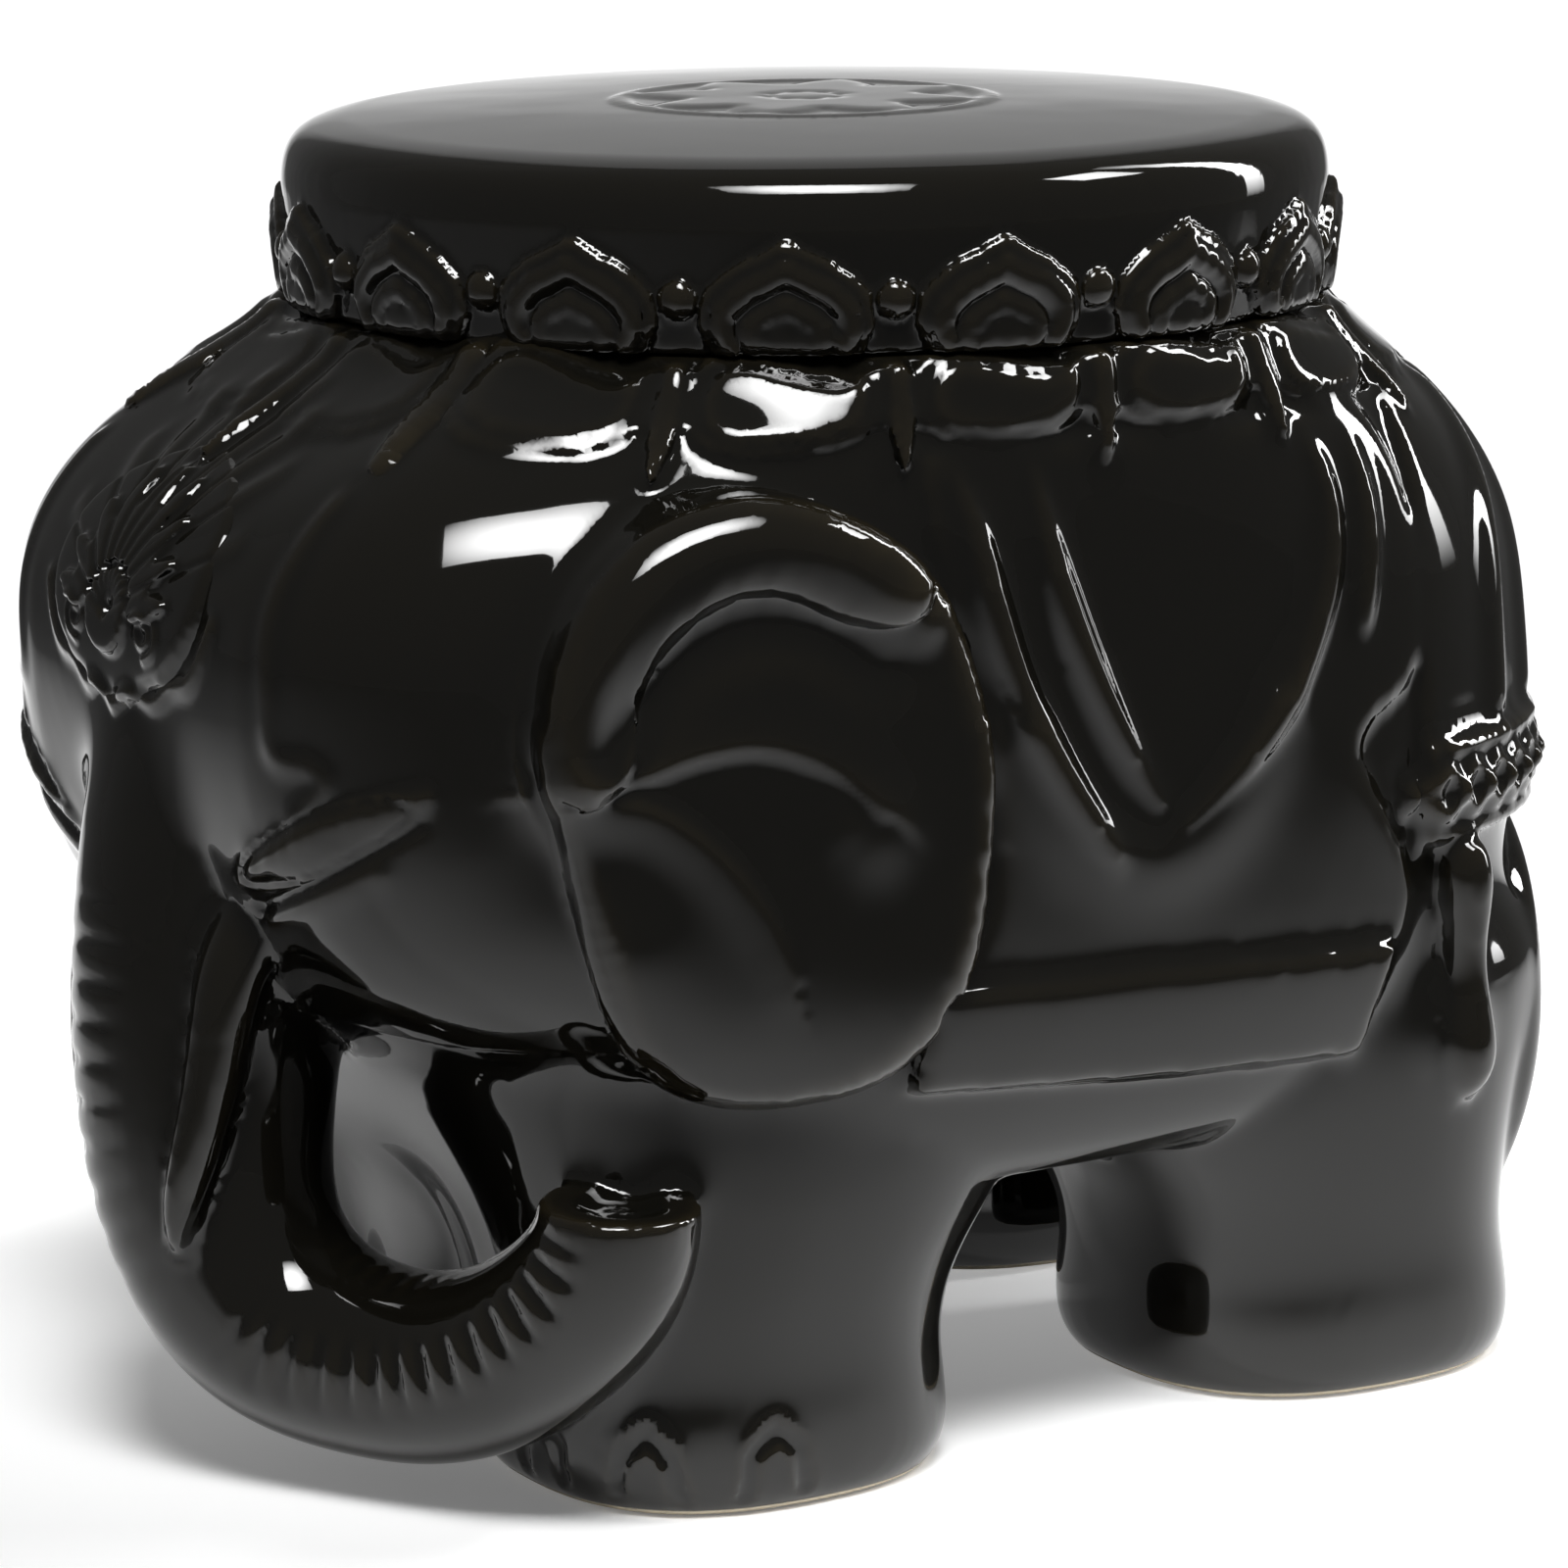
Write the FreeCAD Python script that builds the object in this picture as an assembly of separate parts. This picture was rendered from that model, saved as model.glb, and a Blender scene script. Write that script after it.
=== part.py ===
import FreeCAD, Part
import math
import os

V = FreeCAD.Vector

# Driving sizes in millimetres; x runs from the head (minus) to the tail (plus)
HEIGHT = 420.0          # floor to the flat of the seat
SEAT_R = 172.0          # widest ring of the seat
SEAT_EDGE = 13.0        # radius of the rounded seat edge
SEAT_CROWN = 4.0        # fall of the seat from the flat to the edge
FLAT_R = 64.0           # flat field in the middle of the seat
DRUM_H = 62.0           # neck seam to the flat of the seat
NECK_R = 167.0          # drum radius at the neck seam
HALF_W = 174.0          # half width of the body
HEAD_REACH = 252.0      # seat axis to the forehead
RUMP_REACH = 229.0      # seat axis to the rump
BELLY_Z = 82.0          # floor to the belly
WALL = 7.0              # thickness of the cast wall
FOOT_R = 69.0           # half size of a foot
FOOT_Y = 91.0           # centre of a foot from the middle plane
FRONT_FOOT_X = -96.0    # seat axis to the front feet
REAR_FOOT_X = 129.0     # seat axis to the rear feet
SOLE_ROUND = 4.0        # turn-in at the bottom of a foot
CHEST_Z = 22.0          # floor to the underside of the chest
VENT_R = 8.0            # firing vent in each sole
HEAD_SEAM_X = -118.0    # flat seam between head and body
SPIGOT = 5.0            # depth of the locating rings in the seams
FIT = 0.4               # slip gap round a locating ring
TRUNK_ROOT_R = 48.0     # trunk radius where it leaves the face
TRUNK_TIP_R = 25.0      # trunk radius at the cut tip
WRINKLE = 2.4           # depth of a wrinkle on the trunk
FRONT_RINGS = 5         # wrinkles on the front of the trunk
BEND_RINGS = 13         # wrinkles inside the bend of the trunk
TRUNK_FLOOR = 9.0       # gap between the trunk and the floor
PETALS = 16             # lotus petals round the drum
PETAL_H = 37.0          # height of a petal
PETAL_LIFT = 4.5        # how far a petal stands out
PAD_H = 25.0            # height of a collar pad
PAD_LIFT = 6.5          # how far a collar pad stands out
PAD_GAP = 3.0           # gap between neighbouring petals
DRIP_W = 7.0            # width of the hanging tips between the pads
DRIP_H = 34.0           # height of the hanging tips
EAR_LIFT = 9.0          # how far the ear flap stands out
ROLL_LIFT = 14.0        # how far the rolled ear rim stands out
CLOTH_LIFT = 3.0        # how far the blanket stands out
BORDER_LIFT = 8.0       # how far the blanket border stands out
FOLD_R = 5.5            # greatest radius of a fold in the blanket
FOLD_END_R = 1.5        # radius where a fold dies away
PLAQUE_LIFT = 3.5       # how far the forehead plaque stands out
LEAVES = 9              # leaves in the fan over the plaque
LEAF_R = 48.0           # reach of the fan of leaves
LEAF_ROOT = 15.0        # start of a leaf from the root of the fan
LEAF_Z = 276.0          # height of the root of the fan
LEAF_LIFT = 7.0         # how far the plaque leaves stand out
BAND_H = 34.0           # height of the crupper band
BAND_LIFT = 6.5         # how far the crupper band stands out
NAIL_LIFT = 3.0         # how far a toenail stands out
LID_LIFT = 4.0          # how far an eyelid stands out

NECK_Z = HEIGHT - DRUM_H
BODY_H = NECK_Z - BELLY_Z
FRAME_X = (HEAD_REACH * 0.91 + TRUNK_ROOT_R * 0.87 - RUMP_REACH - BAND_LIFT) / 2

# Body stations: share of height, front, rear and width, then squareness
STATIONS = (
    (0.000, 0.57, 0.80, 0.68, 2.8),
    (0.036, 0.66, 0.885, 0.85, 3.0),
    (0.109, 0.70, 0.945, 0.937, 3.2),
    (0.190, 0.75, 0.975, 0.971, 3.2),
    (0.254, 0.846, 0.987, 0.986, 3.1),
    (0.337, 0.925, 0.996, 0.994, 3.0),
    (0.464, 0.978, 1.0, 1.0, 3.0),
    (0.609, 1.0, 0.998, 1.0, 2.9),
    (0.725, 0.992, 0.97, 0.994, 2.85),
    (0.819, 0.93, 0.915, 0.988, 2.65),
    (0.899, 0.81, 0.838, 0.98, 2.35),
    (0.957, 0.704, 0.766, 0.971, 2.1),
)

NECK_STATION = (1.0, NECK_R / HEAD_REACH, NECK_R / RUMP_REACH, NECK_R / HALF_W, 2.0)

made = {}
forms = {}
skins = {}
tips = []


# A closed smooth curve, squarer than an ellipse, longer in front than behind
def oval(cx, cy, z, front, rear, half, square, count=24):
    points = []
    for i in range(count):
        a = 2 * math.pi * i / count
        c = abs(math.cos(a))
        s = abs(math.sin(a))
        reach = rear if math.cos(a) > 0 else front
        r = ((c / reach) ** square + (s / half) ** square) ** (-1 / square)
        points.append(V(cx + r * math.cos(a), cy + r * math.sin(a), z))
    curve = Part.BSplineCurve()
    marks = [i / count for i in range(count + 1)]
    curve.interpolate(Points=points, PeriodicFlag=True, Parameters=marks)
    return Part.Wire(curve.toShape())


# The barrel of head and body, grown outwards by a given amount
def body_form(grow=0.0):
    if grow in forms:
        return forms[grow]
    wires = []
    for share, front, rear, width, square in STATIONS:
        z = BELLY_Z + share * BODY_H - grow * (1 - share) ** 6
        wires.append(oval(0, 0, z, front * HEAD_REACH + grow, rear * RUMP_REACH + grow,
                          width * HALF_W + grow, square))
    r = NECK_R + grow
    wires.append(oval(0, 0, NECK_Z - min(grow, 0), r, r, r, 2.0))
    forms[grow] = Part.makeLoft(wires, True, False)
    return forms[grow]


# One leg, flaring into the belly; grow is negative for the hollow
def leg_form(foot_x, side, grow=0.0):
    toward = 1 if foot_x < 0 else -1
    sole = WALL if grow < 0 else 0.0
    turn = SOLE_ROUND if grow == 0 else 0.0
    hip = FOOT_R * (0.22 if foot_x < 0 else 0.32)
    # height, then the spread to the end, to the middle, to the side and under the belly
    stations = (
        (sole, -turn, -turn, -turn, -turn),
        (sole + SOLE_ROUND * 1.4, 0, 0, 0, 0),
        (BELLY_Z * 0.50, 0, 1, 0, 1),
        (BELLY_Z * 0.78, hip * 0.1, 8, 0, 6),
        (BELLY_Z * 1.02, hip * 0.4, 24, 1, 18),
        (BELLY_Z * 1.26, hip * 0.75, 38, 2, 30),
        (BELLY_Z * 1.52, hip, 42, 2, 36),
        (BELLY_Z * 1.95, -hip * 0.3, 24, -14, 24),
    )
    wires = []
    for z, end, middle, out, under in stations:
        x = foot_x + toward * (middle - end) / 2
        y = side * (FOOT_Y + (out - under) / 2)
        half_x = FOOT_R + (end + middle) / 2 + grow
        half_y = FOOT_R + (out + under) / 2 + grow
        wires.append(oval(x, y, z, half_x, half_x, half_y, 2.5, 16))
    return Part.makeLoft(wires, True, False)


def box(x0, x1, y0, y1, z0, z1):
    return Part.makeBox(x1 - x0, y1 - y0, z1 - z0, V(x0, y0, z0))


def cylinder(r, z0, z1, x=0.0, y=0.0):
    return Part.makeCylinder(r, z1 - z0, V(x, y, z0))


# A turned ring from (radius, height) corner points
def turned(points):
    wire = Part.makePolygon([V(r, 0, z) for r, z in points] + [V(points[0][0], 0, points[0][1])])
    return Part.Face(wire).revolve(V(0, 0, 0), V(0, 0, 1), 360)


# A smooth edge through points, or a straight one between two
def edge(points):
    if len(points) == 2:
        return Part.makeLine(points[0], points[1])
    curve = Part.BSplineCurve()
    curve.interpolate(Points=points)
    return curve.toShape()


# A closed outline: smooth through the points, or straight between them
def outline(points, smooth=True):
    if not smooth:
        return Part.makePolygon(points + [points[0]])
    curve = Part.BSplineCurve()
    curve.interpolate(Points=points, PeriodicFlag=True)
    return Part.Wire(curve.toShape())


# A prism through the left side of the body from an outline in x and z
def side_prism(points, smooth=True):
    wire = outline([V(x, -HALF_W * 0.35, z) for x, z in points], smooth)
    return Part.Face(wire).extrude(V(0, -HALF_W, 0))


# A prism through the forehead from an outline in y and z
def face_prism(points, smooth=True):
    wire = outline([V(-HEAD_REACH * 0.55, y, z) for y, z in points], smooth)
    return Part.Face(wire).extrude(V(-HEAD_REACH * 0.8, 0, 0))


# A wedge from the seat axis outwards at an angle, outline in width share and height
def fan_prism(points, angle, r0, r1, smooth=True):
    wires = []
    for r in (r0, r1):
        wires.append(outline([V(r, w * r, z) for w, z in points], smooth))
    wedge = Part.makeLoft(wires, True, True)
    wedge.rotate(V(0, 0, 0), V(0, 0, 1), angle)
    return wedge


# Depth of the left side of the body at a place in x and z
def side_y(x, z):
    share = (z - BELLY_Z) / BODY_H
    low = [row for row in STATIONS if row[0] <= share][-1]
    high = [row for row in STATIONS + (NECK_STATION,) if row[0] > share][0]
    t = (share - low[0]) / (high[0] - low[0])
    front, rear, width, square = [a + (b - a) * t for a, b in zip(low[1:], high[1:])]
    reach = rear * RUMP_REACH if x > 0 else front * HEAD_REACH
    return -width * HALF_W * (1 - (abs(x) / reach) ** square) ** (1 / square)


# The skin of even thickness lying on one zone of the body
def skin(lift, zone):
    if (lift, zone) not in skins:
        far = HEAD_REACH + RUMP_REACH
        low = BELLY_Z * 1.3
        shoulder = NECK_Z - PAD_H * 1.6
        room = {
            "side": box(-HEAD_REACH * 0.82, RUMP_REACH * 0.62, -far, -HALF_W * 0.3, low, NECK_Z),
            "face": box(-far, -HEAD_REACH * 0.5, -HALF_W * 0.9, HALF_W * 0.9, low, NECK_Z),
            "rear": box(REAR_FOOT_X, far, -far, far, low, NECK_Z),
            "ring": box(-far, far, 0, far, shoulder, NECK_Z),
        }[zone]
        skins[(lift, zone)] = body_form(lift).common(room).cut(body_form())
    return skins[(lift, zone)]


# What stands out from the body inside a prism
def relief(prism, lift, zone, cutters=()):
    return less(prism.common(skin(lift, zone)), cutters)


# What is left of a shape outside each of the others
def less(shape, cutters, least=20.0):
    for cutter in cutters:
        shape = shape.cut(cutter)
    return tidy(shape, least)


# Keep the real solids and drop slivers
def tidy(shape, least=20.0):
    solids = [s for s in shape.Solids if s.Volume > least]
    return solids[0] if len(solids) == 1 else Part.makeCompound(solids)


def mirrored(shape):
    return shape.mirror(V(0, 0, 0), V(0, 1, 0))


def keep(name, shape):
    made[name] = shape


# Hollow cast body, cut at its flat seams into head, body and four legs
def castings():
    feet = [(x, side) for x in (FRONT_FOOT_X, REAR_FOOT_X) for side in (-1, 1)]
    outer = body_form().fuse([leg_form(x, side) for x, side in feet])
    body = outer.cut([body_form(-WALL)] + [leg_form(x, side, -WALL) for x, side in feet])
    far = HEAD_REACH + RUMP_REACH
    mid_x = (FRONT_FOOT_X + REAR_FOOT_X) / 2
    for name, foot_x, x0, x1 in (("front", FRONT_FOOT_X, -far, mid_x), ("rear", REAR_FOOT_X, mid_x, far)):
        leg = body.common(box(x0, x1, -far, 0, -1, BELLY_Z))
        leg = tidy(leg.cut(cylinder(VENT_R, -1, WALL + 1, foot_x, -FOOT_Y)))
        keep(name + "_left_leg", leg)
        keep(name + "_right_leg", mirrored(leg))
    keep("head_shell", tidy(body.common(box(-far, HEAD_SEAM_X, -far, far, BELLY_Z, HEIGHT))))
    keep("torso_shell", tidy(body.common(box(HEAD_SEAM_X, far, -far, far, BELLY_Z, HEIGHT))))


# The chest between the front legs, which closes the space behind the trunk
def chest():
    x = FRONT_FOOT_X - FOOT_R * 0.3
    wires = []
    for z, along, across in ((CHEST_Z, 0.4, 0.4), (CHEST_Z + 8, 0.55, 0.55),
                             (BELLY_Z * 0.75, 0.62, 0.75), (BELLY_Z * 1.3, 0.75, 1.0)):
        wires.append(oval(x, 0, z, FOOT_R * along, FOOT_R * along, FOOT_R * across, 2.4, 16))
    web = Part.makeLoft(wires, True, False)
    keep("chest_web", less(web, [body_form(), leg_form(FRONT_FOOT_X, -1), leg_form(FRONT_FOOT_X, 1)]))


# Drum wall and seat, each with a locating ring
def seat():
    lip = HEIGHT - 2 * SEAT_EDGE
    top_r = NECK_R + (SEAT_R - NECK_R) * 0.8
    inner = NECK_R - WALL
    drum = turned([(inner, NECK_Z), (NECK_R, NECK_Z), (top_r, lip), (inner, lip)])
    ring = turned([(inner - WALL, NECK_Z - SPIGOT), (inner - FIT, NECK_Z - SPIGOT),
                   (inner - FIT, NECK_Z), (inner, NECK_Z), (inner, NECK_Z + SPIGOT),
                   (inner - WALL, NECK_Z + SPIGOT)])
    keep("seat_drum", drum.fuse(ring).removeSplitter())
    rim_z = HEIGHT - SEAT_CROWN
    rim_r = SEAT_R - SEAT_EDGE
    bend = SEAT_EDGE * math.sqrt(0.5)
    profile = [
        Part.makeLine(V(0, 0, lip), V(0, 0, HEIGHT)),
        Part.makeLine(V(0, 0, HEIGHT), V(FLAT_R, 0, HEIGHT)),
        Part.Arc(V(FLAT_R, 0, HEIGHT), V((FLAT_R + rim_r) / 2, 0, HEIGHT - SEAT_CROWN * 0.3),
                 V(rim_r, 0, rim_z)).toShape(),
        Part.Arc(V(rim_r, 0, rim_z), V(rim_r + bend, 0, rim_z - SEAT_EDGE + bend),
                 V(SEAT_R, 0, rim_z - SEAT_EDGE)).toShape(),
        Part.makeLine(V(SEAT_R, 0, rim_z - SEAT_EDGE), V(top_r, 0, lip)),
        Part.makeLine(V(top_r, 0, lip), V(0, 0, lip)),
    ]
    slab = Part.Face(Part.Wire(profile)).revolve(V(0, 0, 0), V(0, 0, 1), 360)
    dish = cylinder(inner - WALL - FIT, lip - 1, HEIGHT - SEAT_CROWN - WALL)
    spigot = turned([(inner - WALL - FIT, lip - SPIGOT), (inner - FIT, lip - SPIGOT),
                     (inner - FIT, lip + 1), (inner - WALL - FIT, lip + 1)])
    keep("seat_top", slab.cut(dish).fuse(spigot).removeSplitter())


# Low rosette on the flat of the seat: a ring, eight petals and a boss
def medallion():
    rise = 1.2
    ring = cylinder(FLAT_R - 2, HEIGHT, HEIGHT + rise).cut(cylinder(FLAT_R - 6, HEIGHT, HEIGHT + rise))
    solids = [ring, cylinder(FLAT_R * 0.16, HEIGHT, HEIGHT + rise)]
    tip = FLAT_R - 9
    root = FLAT_R * 0.2
    for i in range(8):
        wide = (root + tip) / 2 * math.tan(math.pi / 8) - 1.5
        middle = root + (tip - root) * 0.62
        points = [V(root, 0, HEIGHT), V(middle, -wide, HEIGHT), V(tip, 0, HEIGHT), V(middle, wide, HEIGHT)]
        leaf = Part.Face(outline(points)).extrude(V(0, 0, rise))
        leaf.rotate(V(0, 0, 0), V(0, 0, 1), 45 * i)
        solids.append(leaf)
    keep("seat_medallion", Part.makeCompound(solids))


# Pointed lotus petals in nested steps round the drum, with scroll buds between
def petals():
    pitch = 2 * math.pi / PETALS
    base = NECK_Z + 2
    drum_out = turned([(0, NECK_Z), (NECK_R, NECK_Z),
                       (NECK_R + (SEAT_R - NECK_R) * 0.8, HEIGHT - 2 * SEAT_EDGE),
                       (0, HEIGHT - 2 * SEAT_EDGE)])
    top = base + min(PETAL_H, HEIGHT - 2 * SEAT_EDGE - base - 1)

    def ogee(share):
        w = (math.tan(pitch / 2) - PAD_GAP / NECK_R) * 0.86 * share
        h = (top - base) * share
        half = [(0.86, 0.0), (1.0, 0.26), (0.93, 0.52), (0.62, 0.74), (0.25, 0.88)]
        right = [(w * a, base + h * b) for a, b in half]
        left = [(-a, b) for a, b in right[::-1]]
        return right + [(0, base + h)] + left

    def layer(share, lift):
        shell = drum_grown(lift)
        return fan_prism(ogee(share), 0, NECK_R * 0.9, SEAT_R * 1.15, False).common(shell)

    def drum_grown(lift):
        r1 = NECK_R + (SEAT_R - NECK_R) * 0.8
        z1 = HEIGHT - 2 * SEAT_EDGE
        return turned([(0, NECK_Z), (NECK_R + lift, NECK_Z), (r1 + lift, z1), (0, z1)])

    petal = layer(1.0, PETAL_LIFT * 0.45)
    petal = petal.fuse(layer(0.84, PETAL_LIFT).cut(layer(0.66, PETAL_LIFT * 2)))
    petal = petal.fuse(layer(0.5, PETAL_LIFT).cut(layer(0.36, PETAL_LIFT * 2)))
    petal = petal.fuse(layer(0.28, PETAL_LIFT * 0.9))
    petal = tidy(petal.cut(drum_out))
    bud_r = PAD_GAP * 1.9
    bud = Part.makeSphere(bud_r, V(NECK_R, 0, base + PETAL_H * 0.42)).cut(drum_out)
    bud.rotate(V(0, 0, 0), V(0, 0, 1), math.degrees(pitch / 2))
    bud = tidy(bud.cut(petal))
    solids = []
    for i in range(PETALS):
        for one in (petal, bud):
            turn = one.copy()
            turn.rotate(V(0, 0, 0), V(0, 0, 1), math.degrees(pitch) * (i + 0.5))
            solids += turn.Solids
    keep("lotus_petal_band", Part.makeCompound(solids))


# Cushion pads round the shoulder under the drum, with hanging tips between them
def collar():
    pitch = 2 * math.pi / PETALS
    tip = DRIP_W / 2 / NECK_R
    w = math.tan(pitch / 2) - tip - FIT / NECK_R
    z1 = NECK_Z - 1.5
    z0 = z1 - PAD_H
    points = [(-w * 0.94, z1 - 1), (0, z1), (w * 0.94, z1 - 1), (w, z1 - PAD_H * 0.5),
              (w * 0.7, z0 + 2.5), (0, z0), (-w * 0.7, z0 + 2.5), (-w, z1 - PAD_H * 0.5)]
    field = [(a * 0.78, z1 - PAD_H * 0.5 + (b - z1 + PAD_H * 0.5) * 0.66) for a, b in points]
    waist = z1 - DRIP_H * 0.6
    drip = [(-tip * 0.7, z1), (tip * 0.7, z1), (tip, waist), (0, z1 - DRIP_H), (-tip, waist)]
    solids = []
    for i in range(PETALS // 2):
        angle = math.degrees(pitch) * i + math.degrees(pitch) / 2
        rim = relief(fan_prism(points, angle, NECK_R * 0.8, HEAD_REACH * 1.1), PAD_LIFT * 0.6, "ring")
        core = relief(fan_prism(field, angle, NECK_R * 0.8, HEAD_REACH * 1.1), PAD_LIFT, "ring")
        pad = tidy(rim.fuse(core))
        solids += pad.Solids + mirrored(pad).Solids
    for i in range(PETALS // 2 + 1):
        angle = math.degrees(pitch) * i
        one = relief(fan_prism(drip, angle, NECK_R * 0.8, HEAD_REACH * 1.1, False), PAD_LIFT, "ring")
        if i in (0, PETALS // 2):
            tips.append(one.fuse(mirrored(one)).removeSplitter())
        else:
            tips.extend([one, mirrored(one)])
    for tip in tips:
        solids += tip.Solids
    keep("collar_pads", Part.makeCompound(solids))


# A round rod that bends and tapers through (place, radius) stations
def rod(stations):
    curve = Part.BSplineCurve()
    curve.interpolate(Points=[p for p, r in stations])
    wires = []
    for p, r in stations:
        d = curve.tangent(curve.parameter(p))[0]
        wires.append(Part.Wire(Part.Circle(p, d, r).toShape()))
    return Part.makeLoft(wires, True, False), curve


# Place and radius along the trunk, from the face to the tip
def trunk_stations():
    r0 = TRUNK_ROOT_R
    low = TRUNK_FLOOR
    x = -HEAD_REACH * 0.935
    return [
        (V(x * 0.80, 0, BELLY_Z * 3.2), r0 * 1.26), (V(x * 0.845, 0, BELLY_Z * 2.8), r0 * 1.22),
        (V(x * 0.89, 0, BELLY_Z * 2.4), r0 * 1.11), (V(x * 0.942, -1, BELLY_Z * 1.95), r0 * 0.97),
        (V(x * 0.972, -5, BELLY_Z * 1.5), r0 * 0.87), (V(x * 0.978, -12, BELLY_Z * 1.1), r0 * 0.8),
        (V(x * 0.952, -26, BELLY_Z * 0.74), r0 * 0.74), (V(x * 0.895, -50, low + r0 * 0.74), r0 * 0.68),
        (V(x * 0.81, -88, low + r0 * 0.7), r0 * 0.63), (V(x * 0.75, -122, low + r0 * 1.02), r0 * 0.59),
        (V(x * 0.71, -145, low + r0 * 1.5), r0 * 0.56), (V(x * 0.695, -153, BELLY_Z * 1.3), TRUNK_TIP_R),
    ]


# A straight V-notch across a rod, on the side that looks along toward
def notch(place, along, toward, r):
    toward = (toward - along * toward.dot(along)).normalize()
    across = along.cross(toward)
    root = place + toward * (r - WRINKLE) - across * r
    rise = toward * (WRINKLE * 2)
    spread = along * (WRINKLE * 1.5)
    face = Part.Face(Part.makePolygon([root, root + rise + spread, root + rise - spread, root]))
    return face.extrude(across * (2 * r))


# The trunk hangs from the face, curls to the left and ends in a dished tip
def trunk():
    stations = trunk_stations()
    solid, path = rod(stations)
    marks = [(path.parameter(p), r) for p, r in stations]
    first = path.FirstParameter
    span = path.LastParameter - first
    places = [(0.33 + 0.15 * i / FRONT_RINGS, False) for i in range(FRONT_RINGS)]
    places += [(0.57 + 0.39 * i / BEND_RINGS, True) for i in range(BEND_RINGS)]
    tip, r = stations[-1]
    d = path.tangent(path.LastParameter)[0]
    cuts = [Part.makeCone(r * 0.35, r * 0.72, 5, tip - d * 4, d)]
    for share, bend in places:
        t = first + span * share
        before = [m for m in marks if m[0] <= t][-1]
        after = [m for m in marks if m[0] > t][0]
        r = before[1] + (after[1] - before[1]) * (t - before[0]) / (after[0] - before[0])
        toward = path.normal(t) if bend else V(-0.95, 0.3, 0)
        cuts.append(notch(path.value(t), path.tangent(t)[0], toward, r))
    neighbours = [body_form(), leg_form(FRONT_FOOT_X, -1), made["chest_web"]]
    keep("trunk", less(solid.cut(cuts), neighbours, 1000))


# Short tusks between the cheek and the trunk; the right one lies closer in, as the trunk swings left
def tusks():
    x = -HEAD_REACH
    z = BELLY_Z
    left = [(V(x * 0.88, -44, z * 2.3), 13), (V(x * 0.975, -50, z * 1.85), 12),
            (V(x * 1.005, -49, z * 1.45), 10.5), (V(x * 1.03, -46, z * 1.15), 8),
            (V(x * 1.025, -40, z * 0.95), 4)]
    right = [(V(x * 0.88, 44, z * 2.3), 13), (V(x * 0.95, 48, z * 1.85), 12),
             (V(x * 0.97, 42, z * 1.45), 10.5), (V(x * 0.98, 33, z * 1.15), 8),
             (V(x * 0.975, 23, z * 0.95), 4)]
    for name, stations in (("left_tusk", left), ("right_tusk", right)):
        tusk, path = rod(stations)
        keep(name, less(tusk, [body_form(), made["trunk"]]))


EAR = [(-187, 236), (-188, 268), (-168, 304), (-146, 317), (-121, 320), (-95, 311), (-69, 289),
       (-55, 261), (-50, 230), (-53, 196), (-60, 172), (-73, 154), (-88, 144), (-108, 139),
       (-128, 138), (-145, 143), (-158, 156), (-168, 180), (-178, 208)]
ROLL = [(-183, 240), (-187, 267), (-167, 303), (-146, 316), (-121, 319), (-96, 310), (-75, 291),
        (-92, 285), (-118, 295), (-142, 290), (-158, 272), (-163, 252), (-172, 238)]


# Ear flaps with a rolled upper rim
def ears():
    flap = relief(side_prism(EAR), EAR_LIFT, "side")
    roll = relief(side_prism(ROLL), ROLL_LIFT, "side", [flap])
    keep("left_ear", flap)
    keep("right_ear", mirrored(flap))
    keep("left_ear_roll", roll)
    keep("right_ear_roll", mirrored(roll))


# Blanket edges in x and z: front, bottom, cusped rear, top
BLANKET = (
    [(-64, 329), (-60, 300), (-48, 262), (-40, 222), (-45, 182), (-64, 158)],
    [(-64, 158), (-68, 130)],
    [(-68, 130), (103, 120)],
    [(103, 120), (118, 146), (127, 168), (117, 192), (100, 219)],
    [(100, 219), (106, 229), (121, 237), (128, 250)],
    [(128, 250), (129, 275), (124, 306), (112, 329)],
    [(112, 329), (-64, 329)],
)
BORDER = [(-66, 163), (-70, 131), (20, 124), (104, 119), (116, 154), (20, 160)]
FOLDS = (
    [(-53, 322), (-47, 299), (-34, 255), (-16, 223), (4, 194)],
    [(81, 322), (88, 294), (84, 274), (59, 233), (22, 202)],
    [(-26, 322), (-20, 290), (-4, 250), (22, 210)],
    [(102, 320), (104, 296), (103, 278), (101, 256)],
)


# Saddle blanket, its heavy border and the folds that hang from the collar
def blanket():
    ear = made["left_ear"]
    border = relief(side_prism(BORDER, False), BORDER_LIFT, "side", [ear])
    edges = [edge([V(x, -HALF_W * 0.35, z) for x, z in points]) for points in BLANKET]
    prism = Part.Face(Part.Wire(edges)).extrude(V(0, -HALF_W, 0))
    cloth = max(relief(prism, CLOTH_LIFT, "side", [border, ear] + tips).Solids, key=lambda s: s.Volume)
    folds = []
    for path in FOLDS:
        stations = []
        for i, (x, z) in enumerate(path):
            swell = math.sin(math.pi * i / (len(path) - 1)) ** 0.6
            stations.append((V(x, side_y(x, z) - CLOTH_LIFT, z), FOLD_END_R + (FOLD_R - FOLD_END_R) * swell))
        fold, curve = rod(stations)
        folds += less(fold, [body_form(), cloth] + tips).Solids
    for name, shape in (("blanket_border", border), ("saddle_blanket", cloth),
                        ("swag_cords", Part.makeCompound(folds))):
        keep("left_" + name, shape)
        keep("right_" + name, mirrored(shape))


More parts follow.
